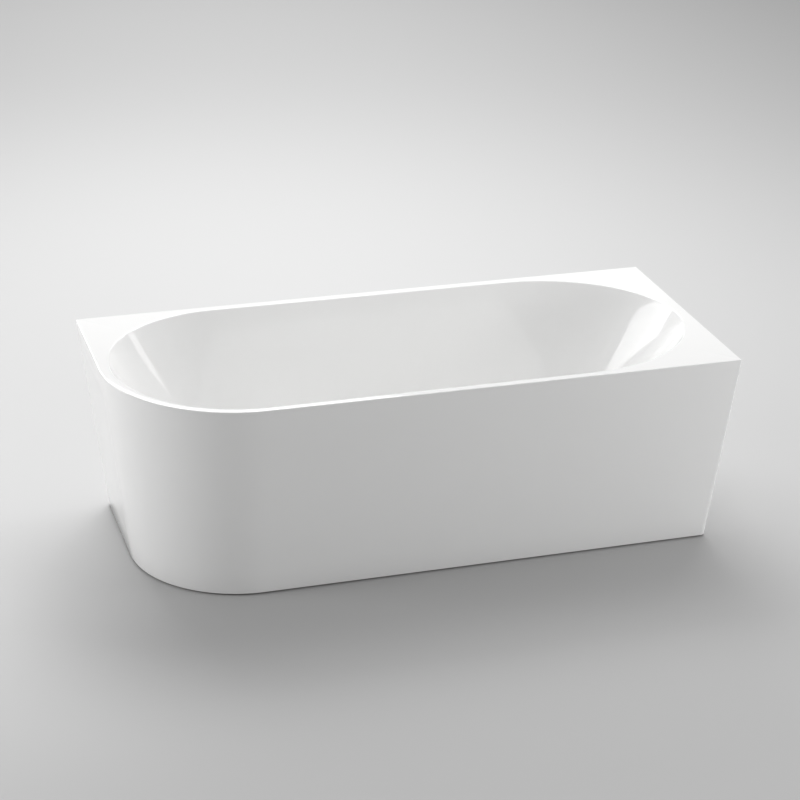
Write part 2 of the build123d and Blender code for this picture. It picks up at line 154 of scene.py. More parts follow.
def add_stage():
    corners = [(x * FLOOR_HALF, y * FLOOR_HALF, 0) for x, y in ((-1, -1), (1, -1), (1, 1), (-1, 1))]
    mesh = bpy.data.meshes.new("floor")
    mesh.from_pydata(corners, [], [(0, 1, 2, 3)])
    mesh.materials.append(floor_paper())
    new_object("floor", mesh)
    world = bpy.data.worlds.new("world")
    world.use_nodes = True
    bpy.context.scene.world = world
    feed(world.node_tree, world.node_tree.nodes["Background"],
         {"Color": (*[WORLD_GREY] * 3, 1), "Strength": WORLD_STRENGTH})


add_stage()
print("floor reaches", FLOOR_HALF, "m")

# %% [markdown]
# Too much light turns a white bath into one blank shape. Large soft lamps above and behind brighten
# the rim and leave the long front in shade, and a low lamp lets that shade run out to the right. Gloss
# shows only what it mirrors, so two cards that light nothing stand where the rounded ends see them.

# %% Lights


def add_lamp(name, place, aim, size, power, mirrored=True, lights=True):
    """A soft lamp at a place, turned to face a point; gloss may mirror it, and it may light or not."""
    data = bpy.data.lights.new(name, "AREA")
    data.shape = "RECTANGLE"
    data.size, data.size_y = size
    data.energy = power
    lamp = new_object(name, data)
    lamp.visible_camera = False
    lamp.visible_glossy = mirrored
    lamp.visible_diffuse = lights
    direction = Vector(aim) - Vector(place)
    turn = direction.to_track_quat("-Z", "Y").to_matrix().to_4x4()
    lamp.matrix_world = Matrix.Translation(place) @ turn


add_lamp("lamp_back", (-0.3, 3.0, 3.3), (-0.1, 0.1, 0.3), (3.0, 2.4), 84)
add_lamp("lamp_top", (1.2, 1.6, 3.8), (0.3, 0.1, 0.4), (3.0, 2.0), 68)
add_lamp("lamp_far", (0.8, 6.2, 3.4), (0.6, 5.2, 0.0), (4.0, 2.0), 96, mirrored=False)
add_lamp("lamp_left", (-2.7, 0.12, 0.8), (-0.8, 0.1, 0.25), (0.8, 0.8), 15, mirrored=False)
add_lamp("lamp_right", (3.0, -1.7, 0.9), (0.9, -0.2, 0.3), (1.2, 1.2), 26, mirrored=False)
add_lamp("panel_front", (1.9, -6.3, 0.8), (0.0, 0.3, 0.45), (5.0, 1.6), 24, mirrored=False)
add_lamp("card_left", (-2.3, 2.0, 1.3), (0.7, 0.0, 0.4), (2.6, 1.7), 58, lights=False)
add_lamp("card_right", (3.2, 0.7, 1.05), (-0.7, 0.1, 0.4), (0.5, 0.9), 3.5, lights=False)
bpy.context.scene.view_settings.view_transform = "Standard"
print("lamps", len(bpy.data.lights))

# %% [markdown]
# In plan the outside is a rectangle with three tight corners and one very round one, and it draws in
# towards the floor. One function gives every outline that the panel and the rim need.

# %% Outline of the outside
LENGTH = 1700 * MM
WIDTH = 750 * MM
HEIGHT = 560 * MM
TOE_GAP = 5 * MM
TAPER = {"left": 64 * MM, "right": 42 * MM, "front": 52 * MM, "back": 52 * MM}
TIGHT_RIM, TIGHT_FOOT = 5 * MM, 16 * MM
ROUND_RIM, ROUND_FOOT = 372.5 * MM, 306 * MM
DECK = 8 * MM
TIGHT_STEPS = 10
ROUND_STEPS = 72


def polar(radius, angle, level=0, centre=(0, 0)):
    return (centre[0] + radius * math.cos(angle), centre[1] + radius * math.sin(angle), level)


def corner_circles(level):
    """Centre, radius and first angle of the four corner arcs at a level, counter-clockwise."""
    lean = (HEIGHT - level) / (HEIGHT - TOE_GAP)
    left = -LENGTH / 2 + TAPER["left"] * lean
    right = LENGTH / 2 - TAPER["right"] * lean
    front = -WIDTH / 2 + TAPER["front"] * lean
    back = WIDTH / 2 - TAPER["back"] * lean
    tight = TIGHT_RIM + (TIGHT_FOOT - TIGHT_RIM) * lean
    wide = ROUND_RIM + (ROUND_FOOT - ROUND_RIM) * lean
    return [
        (left + tight, back - tight, tight, 90),
        (left + wide, front + wide, wide, 180),
        (right - tight, front + tight, tight, 270),
        (right - tight, back - tight, tight, 0),
    ]


def outer_loop(level, inset, height):
    """Points round the outside at a level, moved in by inset and lifted to a height."""
    points = []
    for x, y, radius, start in corner_circles(level):
        steps = ROUND_STEPS if radius > TIGHT_FOOT else TIGHT_STEPS
        for angle in np.radians(np.linspace(start, start + 90, steps + 1)):
            points.append(polar(radius - inset, angle, height, (x, y)))
    return np.array(points)


print("points in an outline", len(outer_loop(HEIGHT, 0, HEIGHT)))

# %% [markdown]
# The bathing space has two half-ellipse ends. Its walls lean, most at the ends where a back rests, and
# meet the floor in one large curve. Each point of the rim has its own section: a small rounding, a
# straight leaning wall, a big arc and the flat floor. Joined up, the sections give a clean grid of faces.

# %% Sections of the bathing space
RIM = {"left": 30 * MM, "right": 35 * MM, "front": 25 * MM, "back": 30 * MM}
NOSE_RIGHT = 400 * MM
DEPTH = 430 * MM
SIDE_LEAN = math.radians(13.5)
END_LEAN = math.radians(30)
FLOOR_ROUND = 80 * MM
RIM_ROUND = 4 * MM
LIP_ROUND = 6 * MM
BASIN_WALL = 6 * MM
FLOOR_LEVEL = HEIGHT - DEPTH
MIDDLE_Y = (RIM["front"] - RIM["back"]) / 2
HALF_OPENING = (WIDTH - RIM["front"] - RIM["back"]) / 2
END_STEPS = 96
SIDE_STEPS = 24
WALL_RINGS = 14
FLOOR_RINGS = 20
LIP_RINGS = 8
UP = np.array((0, 0, 1.0))


def bath_loop(level):
    """Points and outward directions round the bathing space at a level, counter-clockwise."""
    drop = HEIGHT - level
    half = HALF_OPENING - drop * math.tan(SIDE_LEAN)
    share = half / HALF_OPENING
    left = -LENGTH / 2 + RIM["left"] + drop * math.tan(END_LEAN)
    right = LENGTH / 2 - RIM["right"] - drop * math.tan(END_LEAN)
    nose_left, nose_right = HALF_OPENING * share, NOSE_RIGHT * share
    centre_left, centre_right = left + nose_left, right - nose_right
    points, normals = [], []
    for start, side, centre, nose, far in ((90, 1, centre_left, nose_left, centre_right),
                                           (270, -1, centre_right, nose_right, centre_left)):
        for angle in np.radians(np.linspace(start, start + 180, END_STEPS + 1)):
            c, s = math.cos(angle), math.sin(angle)
            points.append((centre + nose * c, MIDDLE_Y + half * s, level))
            normals.append(Vector((c / nose, s / half, 0)).normalized()[:])
        for along in np.linspace(0, 1, SIDE_STEPS + 1)[1:-1]:
            points.append((centre + (far - centre) * along, MIDDLE_Y - side * half, level))
            normals.append((0, -side, 0))
    return np.array(points), np.array(normals)


def wall_slope():
    """Round the bath: the rim's points, the outward directions, the fall to the floor and the lean."""
    top, out = bath_loop(HEIGHT)
    fall = bath_loop(FLOOR_LEVEL)[0] - top
    return top, out, fall, np.arctan2(-(fall * out).sum(axis=1), -fall[:, 2])


def bowl_rings(grow, first_drop):
    """Rings of the leaning wall and the floor's soft curve, for the skin's inner or outer face."""
    top, out, fall, lean = wall_slope()
    turn = np.pi / 2 - lean
    start = top + out * (grow / np.cos(lean))[:, None]
    radius = FLOOR_ROUND + grow
    reach = radius * np.tan(turn / 2)
    last_drop = DEPTH + grow - reach * np.cos(lean)
    rings = []
    for share in np.linspace(0, 1, WALL_RINGS):
        drop = first_drop + (last_drop - first_drop) * share
        rings.append(start + fall * (drop / DEPTH)[:, None])
    foot = start + fall * ((DEPTH + grow) / DEPTH)
    bend = foot + out * (reach * np.sin(lean))[:, None] + UP * (reach * np.cos(lean))[:, None]
    slip = rings[-1] - bend
    for share in np.linspace(0, 1, FLOOR_RINGS)[1:]:
        angle = turn * (1 - share)
        inward = reach - radius * np.sin(angle)
        rise = radius * (1 - np.cos(angle))
        rings.append(foot - out * inward[:, None] + UP * rise[:, None] + slip * (1 - share))
    return rings


def lip_rings():
    """Rings of the small rounding where the deck turns down into the bath."""
    top, out, _, lean = wall_slope()
    turn = np.pi / 2 - lean
    reach = LIP_ROUND * np.tan(turn / 2)
    rings = []
    for share in np.linspace(0, 1, LIP_RINGS):
        away = reach - LIP_ROUND * np.sin(turn * share)
        down = LIP_ROUND * (1 - np.cos(turn * share))
        rings.append(top + out * away[:, None] - UP * down[:, None])
    return rings


def circle_ring(around, radius, height):
    """Points on a circle about the waste, each in line with its point of another ring."""
    angles = np.arctan2(around[:, 1] - MIDDLE_Y, around[:, 0])
    level = np.full(len(angles), height)
    return np.column_stack((radius * np.cos(angles), MIDDLE_Y + radius * np.sin(angles), level))


print("points round the bathing space", len(bath_loop(HEIGHT)[0]))

# %% [markdown]
# The inner bath is one sheet of acrylic: deck, leaning walls, floor and a shallow dish for the waste.
# The flat deck is simply filled between its two edges. The rings are joined the whole way round, under
# the floor too, which gives the sheet its real thickness.

# %% Inner bath
RECESS_RADIUS = 38 * MM
RECESS_DEPTH = 3 * MM
WASTE_HOLE = 27.4 * MM
RECESS_SOFT = 1.2 * MM
DECK_UNDER = HEIGHT - DECK
MEAN_TAPER = math.radians(5.4)
SHARP_DEGREES = 35


def rim_loops():
    """Outlines of the deck's outer edge, from its underside over the rounding to the top."""
    loops = [outer_loop(DECK_UNDER, 0, DECK_UNDER)]
    centre = RIM_ROUND / math.cos(MEAN_TAPER) + RIM_ROUND * math.tan(MEAN_TAPER)
    for angle in np.linspace(-MEAN_TAPER, math.pi / 2, LIP_RINGS):
        inset = centre - RIM_ROUND * math.cos(angle)
        loops.append(outer_loop(HEIGHT, inset, HEIGHT - RIM_ROUND + RIM_ROUND * math.sin(angle)))
    return loops


def bowl_loops():
    """Rings from the lip down the inside, through the waste hole and back up the outside."""
    lip = lip_rings()
    inside = bowl_rings(0, HEIGHT - lip[-1][:, 2])
    outside = bowl_rings(BASIN_WALL, np.full(len(lip[0]), DECK))
    floor = inside[-1]
    dish = [
        (RECESS_RADIUS + RECESS_SOFT, 0), (RECESS_RADIUS + RECESS_SOFT / 2, RECESS_SOFT / 6),
        (RECESS_RADIUS + RECESS_SOFT / 6, RECESS_SOFT / 2), (RECESS_RADIUS, RECESS_SOFT),
        (RECESS_RADIUS, RECESS_DEPTH - RECESS_SOFT / 2),
        (RECESS_RADIUS - RECESS_SOFT / 2, RECESS_DEPTH), (WASTE_HOLE, RECESS_DEPTH),
        (WASTE_HOLE, RECESS_DEPTH + BASIN_WALL), (RECESS_RADIUS + BASIN_WALL, RECESS_DEPTH + BASIN_WALL),
        (RECESS_RADIUS + BASIN_WALL, BASIN_WALL),
    ]
    circles = [circle_ring(floor, radius, FLOOR_LEVEL - depth) for radius, depth in dish]
    return lip + inside[1:] + circles + outside[::-1]


def join_loops(bm, loops):
    """Vertices for each loop and quads between neighbours; gives back the rows of vertices."""
    rows = [[bm.verts.new(point) for point in loop] for loop in loops]
    for upper, lower in zip(rows, rows[1:]):
        for i in range(len(upper)):
            j = (i + 1) % len(upper)
            bm.faces.new((upper[i], upper[j], lower[j], lower[i]))
    return rows


def fill_between(bm, first, second):
    """Triangles that fill the flat space between two closed rows of vertices."""
    edges = []
    for row in (first, second):
        for i in range(len(row)):
            pair = (row[i], row[(i + 1) % len(row)])
            edges.append(bm.edges.get(pair) or bm.edges.new(pair))
    bmesh.ops.triangle_fill(bm, use_beauty=True, edges=edges)


def finish_mesh(bm, name, sharp_degrees=SHARP_DEGREES):
    """A smooth-shaded object from closed bmesh faces, with edges sharper than the angle kept crisp."""
    bmesh.ops.recalc_face_normals(bm, faces=bm.faces)
    mesh = bpy.data.meshes.new(name)
    bm.to_mesh(mesh)
    bm.free()
    mesh.shade_smooth()
    mesh.set_sharp_from_angle(angle=math.radians(sharp_degrees))
    return new_object(name, mesh)


def make_inner_bath():
    bm = bmesh.new()
    outer_rows = join_loops(bm, rim_loops())
    inner_rows = join_loops(bm, bowl_loops())
    fill_between(bm, outer_rows[-1], inner_rows[0])
    fill_between(bm, outer_rows[0], inner_rows[-1])
    return finish_mesh(bm, "inner_bath")


inner_bath = make_inner_bath()
print("inner bath faces", len(inner_bath.data.polygons))

# %% [markdown]
# Geometry Nodes suit a shape that follows a rule, such as a panel between two outlines or a thread.
# Both are a plain grid that is bent into shape, so two helpers make the grid and bend it.

# %% Geometry Nodes helpers
GEOMETRY = {"Geometry": "Geometry"}


def geo(tree, kind, inputs=None, **settings):
    return node(tree, "GeometryNode" + kind, inputs, **settings)


def new_group(name, kind, inputs, outputs):
    """A node group from {socket name: kind}; gives the group and the sockets of its inputs."""
    group = bpy.data.node_groups.new(name, kind)
    for side, sockets in (("INPUT", inputs), ("OUTPUT", outputs)):
        for label, socket in sockets.items():
            group.interface.new_socket(name=label, in_out=side, socket_type="NodeSocket" + socket)
    return group, node(group, "NodeGroupInput")


def new_tree(name, inputs):
    """A geometry tree that also takes the material of the piece it makes."""
    return new_group(name, "GeometryNodeTree", {**GEOMETRY, **inputs, "Material": "Material"}, GEOMETRY)


def close_tree(tree, value, geometry):
    """End a tree the way the export needs: instances made real, and the material set."""
    real = geo(tree, "RealizeInstances", {0: geometry})[0]
    painted = geo(tree, "SetMaterial", {"Geometry": real, "Material": value["Material"]})
    node(tree, "NodeGroupOutput", {0: painted[0]})
    return tree


def unit_grid(tree, columns, rows):
    """A grid to bend into shape, and how far each point is across it and along it, from 0 to 1."""
    sizes = {"Size X": 1, "Size Y": 1, "Vertices X": calc(tree, "ADD", columns, 1), "Vertices Y": rows}
    grid = geo(tree, "MeshGrid", sizes)
    place = geo(tree, "InputPosition")[0]
    axes = node(tree, "ShaderNodeSeparateXYZ", {0: place})
    return grid["Mesh"], calc(tree, "ADD", axes["X"], 0.5), calc(tree, "ADD", axes["Y"], 0.5)


def bend_grid(tree, grid, places, weld, offset=(0, 0, 0)):
    """Move a grid's points to their places and weld the seam where its two sides meet."""
    moved = geo(tree, "SetPosition", {"Geometry": grid, "Position": places, "Offset": offset})[0]
    return geo(tree, "MergeByDistance", {"Geometry": moved, "Distance": weld})[0]


def modify(item, name, kind, **settings):
    modifier = item.modifiers.new(name, kind)
    for key, value in settings.items():
        setattr(modifier, key, value)
    return modifier


def keep_result(item):
    """Turn an object's modifiers into plain mesh."""
    graph = bpy.context.evaluated_depsgraph_get()
    result = bpy.data.meshes.new_from_object(item.evaluated_get(graph))
    item.modifiers.clear()
    item.data = result
    result.name = item.name


def grow_piece(name, tree, values, start_mesh=None):
    """Run a tree once with its inputs set by identifier, and keep the result as a plain mesh."""
    item = new_object(name, start_mesh or bpy.data.meshes.new(name + "_start"))
    modifier = modify(item, tree.name, "NODES", node_group=tree)
    for socket in tree.interface.items_tree:
        if socket.in_out == "INPUT" and socket.name in values:
            modifier[socket.identifier] = values[socket.name]
    keep_result(item)
    return item

# %% [markdown]
# The outer panel is the surface between an outline under the rim and one at the floor. Quadrilateral
# makes the corners, and Fillet Curve rounds them: its radius is a field, so the first corner gets the
# large radius. Both outlines have as many points, so each grid column runs from one to the other.

# %% Panel tree
CORNER_NAMES = ("front left", "front right", "back right", "back left")


def outline_branch(tree, value, label):
    """The nodes of one rounded outline; gives back its curve."""
    corners = {f"Point {number}": value[f"{label} {corner}"]
               for number, corner in enumerate(CORNER_NAMES, start=1)}
    quad = geo(tree, "CurvePrimitiveQuadrilateral", corners, mode="POINTS")
    tight = value[f"{label} tight radius"]
    first = calc(tree, "LESS_THAN", geo(tree, "InputIndex")[0], 0.5)
    extra = calc(tree, "SUBTRACT", value[f"{label} round radius"], tight)
    rounding = {"Curve": quad["Curve"], "Count": value["Corner steps"],
                "Radius": calc(tree, "ADD", calc(tree, "MULTIPLY", first, extra), tight)}
    return geo(tree, "FilletCurve", rounding, mode="POLY")["Curve"]


def sample_place(tree, curve, index):
    """The position of an outline's point with the given index."""
    position = geo(tree, "InputPosition")[0]
    return geo(tree, "SampleIndex", {"Geometry": curve, "Value": position, "Index": index},
                data_type="FLOAT_VECTOR", domain="POINT")[0]


def panel_tree():
    inputs = {"Corner steps": "Int", "Rows": "Int"}
    for label in ("Rim", "Foot"):
        inputs.update({f"{label} {corner}": "Vector" for corner in CORNER_NAMES})
        inputs.update({f"{label} {size} radius": "Float" for size in ("round", "tight")})
    tree, value = new_tree("tapered_panel", inputs)
    rim, foot = (outline_branch(tree, value, label) for label in ("Rim", "Foot"))
    size = geo(tree, "AttributeDomainSize", {0: rim}, component="CURVE")
    count = size["Point Count"]
    grid, across, rise = unit_grid(tree, count, value["Rows"])
    column = calc(tree, "ROUND", calc(tree, "MULTIPLY", across, count))
    index = calc(tree, "MODULO", column, count)
    ends = {"Factor": rise, "A": sample_place(tree, foot, index), "B": sample_place(tree, rim, index)}
    places = node(tree, "ShaderNodeMix", ends, data_type="VECTOR")["Result"]
    return close_tree(tree, value, bend_grid(tree, grid, places, WELD))


PANEL_TREE = panel_tree()
print("panel tree nodes", len(PANEL_TREE.nodes))

# %% [markdown]
# The outline function gives the tree its corners and radii at both levels. Solidify then gives the
# panel its 5 mm wall and Bevel breaks its edges, and both stay live, so either can still be changed.

# %% Outer panel
PANEL_WALL = 5 * MM
PANEL_ROWS = 9
CORNER_STEPS = 48
EDGE_WIDTH, EDGE_SEGMENTS = 0.8 * MM, 3
EDGE_ANGLE = math.radians(50)


def panel_corners(label, level):
    """The square corners and the radii of the outside at a level, named as the tree's inputs."""
    back_left, front_left, _, back_right = corner_circles(level)
    left, front = front_left[0] - front_left[2], front_left[1] - front_left[2]
    right, back = back_right[0] + back_right[2], back_right[1] + back_right[2]
    places = ((left, front), (right, front), (right, back), (left, back))
    values = {f"{label} {corner}": (x, y, level) for corner, (x, y) in zip(CORNER_NAMES, places)}
    return {**values, f"{label} round radius": front_left[2], f"{label} tight radius": back_left[2]}


def make_outer_panel(material):
    values = {**panel_corners("Rim", DECK_UNDER), **panel_corners("Foot", TOE_GAP),
              "Corner steps": CORNER_STEPS, "Rows": PANEL_ROWS, "Material": material}
    panel = grow_piece("outer_panel", PANEL_TREE, values)
    bm = bmesh.new()
    bm.from_mesh(panel.data)
    bmesh.ops.recalc_face_normals(bm, faces=bm.faces)
    if sum(face.normal.dot(face.calc_center_median()) for face in bm.faces) < 0:
        bmesh.ops.reverse_faces(bm, faces=bm.faces)
    bm.to_mesh(panel.data)
    bm.free()
    modify(panel, "wall", "SOLIDIFY", thickness=PANEL_WALL, offset=-1)
    modify(panel, "edge", "BEVEL", width=EDGE_WIDTH, segments=EDGE_SEGMENTS, limit_method="ANGLE",
           angle_limit=EDGE_ANGLE)
    panel.data.shade_smooth()
    return panel


# %% [markdown]
# Real surfaces are never one flat value. One shared group gives every finish an uneven tone: a soft
# noise shifts the colour and the roughness a little, and gives a height for the Bump node. The shader
# itself stays in each material, where the export can read it.

# %% Shared effect: uneven finish
NOISE_DETAIL, NOISE_ROUGHNESS = 4.0, 0.55


def effect_group():
    inputs = {"Colour": "Color", "Dark Colour": "Color", "Roughness": "Float", "Roughness Range": "Float",
              "Scale": "Float", "Stretch": "Vector", "Contrast": "Float"}
    outputs = {"Colour": "Color", "Roughness": "Float", "Height": "Float"}
    group, value = new_group("uneven_finish", "ShaderNodeTree", inputs, outputs)
    where = node(group, "ShaderNodeTexCoord")["Object"]
    place = node(group, "ShaderNodeMapping", {"Vector": where, "Scale": value["Stretch"]})[0]
    noise = node(group, "ShaderNodeTexNoise", {"Vector": place, "Scale": value["Scale"],
                                               "Detail": NOISE_DETAIL, "Roughness": NOISE_ROUGHNESS})
    centred = calc(group, "SUBTRACT", noise[0], 0.5)
    share = calc(group, "ADD", calc(group, "MULTIPLY", centred, value["Contrast"]), 0.5)
    bound = node(group, "ShaderNodeClamp", {"Value": share})[0]
    tones = {"Factor": bound, "A": value["Dark Colour"], "B": value["Colour"]}
    colour = node(group, "ShaderNodeMix", tones, data_type="RGBA")["Result"]
    rough = calc(group, "MULTIPLY", calc(group, "SUBTRACT", bound, 0.5), value["Roughness Range"])
    node(group, "NodeGroupOutput", {"Colour": colour, "Height": bound,
                                    "Roughness": calc(group, "ADD", rough, value["Roughness"])})
    return group


UNEVEN = effect_group()
print("effect nodes", len(UNEVEN.nodes))


def finish(name, colour, dark, roughness, scale, rough_range=0.1, contrast=1.0, stretch=(1, 1, 1),
           bump=0.0, depth=0.2 * MM, **settings):
    """A material with the uneven finish; settings are the shader's own values, such as Metallic."""
    material, tree, shader = new_material(name)
    values = {"Colour": (*colour, 1), "Dark Colour": (*dark, 1), "Roughness": roughness,
              "Roughness Range": rough_range, "Scale": scale, "Stretch": stretch, "Contrast": contrast}
    out = node(tree, "ShaderNodeGroup", values, node_tree=UNEVEN)
    feed(tree, shader, {"Base Color": out["Colour"], "Roughness": out["Roughness"], **settings})
    if bump:
        relief = {"Strength": bump, "Distance": depth, "Height": out["Height"]}
        feed(tree, shader, {"Normal": node(tree, "ShaderNodeBump", relief)[0]})
    return material


# %% [markdown]
# The finishes. Sanitary acrylic is a bright neutral white with a hard gloss: the colour hardly varies,
# and what the eye reads is the reflection, bent a little by the sheet's slow waves. The hidden parts are
# raw or coated materials, each with the grain that its making leaves.

# %% Finishes
ACRYLIC = finish("white_acrylic", (0.93, 0.93, 0.925), (0.915, 0.915, 0.91), 0.07, 3.0, rough_range=0.03,
                 bump=0.05, depth=1.5 * MM, IOR=1.49)
FINISHES = {
    "acrylic": ACRYLIC,
    "board": finish("chipboard", (0.62, 0.47, 0.30), (0.34, 0.23, 0.13), 0.8, 220.0, contrast=2.2,
                    stretch=(1, 0.6, 1), bump=0.6, depth=0.3 * MM),
    "frame_steel": finish("galvanised_steel", (0.66, 0.68, 0.70), (0.48, 0.50, 0.53), 0.42, 60.0,
                          rough_range=0.25, contrast=2.0, bump=0.15, Metallic=1.0),
    "chrome": finish("polished_chrome", (0.82, 0.83, 0.85), (0.78, 0.79, 0.81), 0.07, 30.0,
                     rough_range=0.05, Metallic=1.0),
    "white_plastic": finish("moulded_white_plastic", (0.86, 0.86, 0.84), (0.80, 0.80, 0.78), 0.42, 90.0,
                            bump=0.1, IOR=1.5),
    "rubber": finish("black_rubber", (0.035, 0.035, 0.035), (0.02, 0.02, 0.02), 0.75, 400.0, bump=0.2),
    "brass": finish("turned_brass", (0.78, 0.60, 0.32), (0.68, 0.50, 0.25), 0.28, 90.0,
                    stretch=(1, 1, 9), Metallic=1.0),
    "foot_steel": finish("zinc_plated_steel", (0.74, 0.74, 0.76), (0.60, 0.61, 0.64), 0.34, 140.0,
                         contrast=1.6, Metallic=1.0),
    "foot_plastic": finish("moulded_black_plastic", (0.045, 0.045, 0.05), (0.03, 0.03, 0.034), 0.55, 500.0,
                           bump=0.25),
}
print("finishes", len(FINISHES))

# %% [markdown]
# A piece is finished by three facts: the body it rides on, the slot its finish comes from, and the CAD
# node it stands for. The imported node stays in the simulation; only its picture is exchanged.

# %% Hang a piece on its body


def hang(piece, body, slot, *nodes):
    piece.data.materials.clear()
    piece.data.materials.append(FINISHES[slot])
    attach(piece, body)
    if nodes:
        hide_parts(*nodes)
    print(piece.name, "rides on", body, "with", len(piece.data.polygons), "faces")


# %% [markdown]
# The overflow is a round-ended slot in the front wall, and the wall leans. A matrix that puts Z on the
# wall's own face lets every overflow piece be drawn flat and then laid on the wall.

# %% Place of the overflow
OVERFLOW_DROP = 90 * MM
SLOT_LONG, SLOT_HIGH = 80 * MM, 11 * MM
SLEEVE_WALL = 1.5 * MM
SLEEVE_GAP = 1.0 * MM
SLOT_STEPS = 24


def wall_place():
    across = Vector((-1, 0, 0))
    inward = Vector((0, math.cos(SIDE_LEAN), math.sin(SIDE_LEAN)))
    y = -WIDTH / 2 + RIM["front"] + OVERFLOW_DROP * math.tan(SIDE_LEAN)
    turn = Matrix((across, inward.cross(across), inward)).transposed().to_4x4()
    return Matrix.Translation((0, y, HEIGHT - OVERFLOW_DROP)) @ turn


WALL_PLACE = wall_place()


def slot_loop(long, high, rise):
    """Points of a round-ended outline on the front wall, at a height above its face."""
    radius = high / 2
    reach = long / 2 - radius
    points = []
    for side, start in ((1, -90), (-1, 90)):
        for angle in np.radians(np.linspace(start, start + 180, SLOT_STEPS + 1)):
            points.append((WALL_PLACE @ Vector(polar(radius, angle, rise, (side * reach, 0))))[:])
    return points


print("overflow place", tuple(round(value, 4) for value in WALL_PLACE.translation))

# %% [markdown]
# The slot is the one opening in the wall that the section rings cannot give. A Boolean with the exact
# solver cuts it. The wall is flat there, so the cut leaves no dents in the gloss.

# %% Slot in the inner bath


def cut_slot(piece):
    grow = 2 * (SLEEVE_WALL + SLEEVE_GAP)
    bm = bmesh.new()
    loops = [slot_loop(SLOT_LONG + grow, SLOT_HIGH + grow, rise)
             for rise in (-3 * BASIN_WALL, BASIN_WALL)]
    for row in join_loops(bm, loops):
        bm.faces.new(row)
    cutter = finish_mesh(bm, "slot_cutter")
    modify(piece, "slot", "BOOLEAN", object=cutter, operation="DIFFERENCE", solver="EXACT")
    keep_result(piece)
    piece.data.set_sharp_from_angle(angle=math.radians(SHARP_DEGREES))
    bpy.data.objects.remove(cutter)


cut_slot(inner_bath)
hang(inner_bath, "bath", "acrylic", "basin_shell")
hang(make_outer_panel(ACRYLIC), "bath", "acrylic", "skirt_shell")

# %% [markdown]
# The chrome cover of the slot is a thin plate with a sleeve that goes through the wall. The same trick
# serves: loops over the soft front edge, into the slot and down the sleeve, joined the whole way round.

# %% Overflow cover
COVER_LONG, COVER_HIGH, COVER_THICK = 118 * MM, 30 * MM, 2 * MM
COVER_EDGE = 1.2 * MM
SLEEVE_END = -BASIN_WALL - 1 * MM
EDGE_STEPS = 5


def make_overflow_cover():
    loops = []
    for angle in np.linspace(0, math.pi / 2, EDGE_STEPS):
        inset = 2 * COVER_EDGE * (1 - math.cos(angle))
        rise = COVER_THICK - COVER_EDGE + COVER_EDGE * math.sin(angle)
        loops.append(slot_loop(COVER_LONG - inset, COVER_HIGH - inset, rise))
    for angle in np.linspace(0, math.pi / 2, EDGE_STEPS):
        grow = 2 * COVER_EDGE * (1 - math.sin(angle))
        rise = COVER_THICK - COVER_EDGE * (1 - math.cos(angle))
        loops.append(slot_loop(SLOT_LONG + grow, SLOT_HIGH + grow, rise))
    outer = 2 * SLEEVE_WALL
    for long, high, rise in ((SLOT_LONG, SLOT_HIGH, SLEEVE_END),
                             (SLOT_LONG + outer, SLOT_HIGH + outer, SLEEVE_END),
                             (SLOT_LONG + outer, SLOT_HIGH + outer, 0), (COVER_LONG, COVER_HIGH, 0)):
        loops.append(slot_loop(long, high, rise))
    bm = bmesh.new()
    join_loops(bm, loops + loops[:1])
    bmesh.ops.remove_doubles(bm, verts=bm.verts, dist=FINE_WELD)
    return finish_mesh(bm, "overflow_cover")


hang(make_overflow_cover(), "bath", "chrome", "overflow_trim")

# %% [markdown]
# The plug, the waste and the feet are turned parts. One helper softens the corners of an outline, and
# another spins it round an upright axis. An outline that starts and ends on the axis closes itself.

# %% Turned parts
SPIN_STEPS = 72


def soft_outline(outline, radius, steps=3):
    """The same outline with each corner off the axis replaced by a small curve."""
    result = []
    closed = outline[0][0] > 0
    for i, (r, z) in enumerate(outline):
        if not closed and i in (0, len(outline) - 1):
            result.append((r, z))
            continue
        here = Vector((r, z))
        before = Vector(outline[i - 1]) - here
        after = Vector(outline[(i + 1) % len(outline)]) - here
        first = here + before.normalized() * min(radius, before.length / 2)
        last = here + after.normalized() * min(radius, after.length / 2)
        for share in np.linspace(0, 1, steps + 1):
            result.append(tuple(first.lerp(here, share).lerp(here.lerp(last, share), share)))
    return result


def spin(bm, outline, centre=(0, 0), steps=SPIN_STEPS):
    """Add the form that an outline of (radius, level) pairs sweeps round an upright axis."""
    rings = []
    for radius, level in outline:
        angles = np.linspace(0, 2 * math.pi, steps, endpoint=False) if radius > 0 else [0]
        rings.append([bm.verts.new(polar(radius, angle, level, centre)) for angle in angles])
    pairs = list(zip(rings, rings[1:]))
    if len(rings[0]) > 1:
        pairs.append((rings[-1], rings[0]))
    for lower, upper in pairs:
        for i in range(steps):
            j = (i + 1) % steps
            corners = (lower[i % len(lower)], lower[j % len(lower)], upper[j % len(upper)],
                       upper[i % len(upper)])
            bm.faces.new(list(dict.fromkeys(corners)))


# %% [markdown]
# The click-clack cap is a shallow dome that stands 9.5 mm above its seat when the bath drains. The dome
# is drawn as a parabola, so its highlight travels smoothly.

# %% Plug cap
WASTE_CENTRE = (0, MIDDLE_Y)
CAP_UNDER = 141.3 * MM
CAP_RADIUS = 33 * MM
CAP_EDGE = 2 * MM
CAP_CROWN = 2.8 * MM
HUB_RADIUS = 12 * MM
HUB_UNDER = CAP_UNDER - 4.1 * MM
STEM_BORE = 4.05 * MM
CAP_POINTS, CAP_SOFT = 12, 0.6 * MM


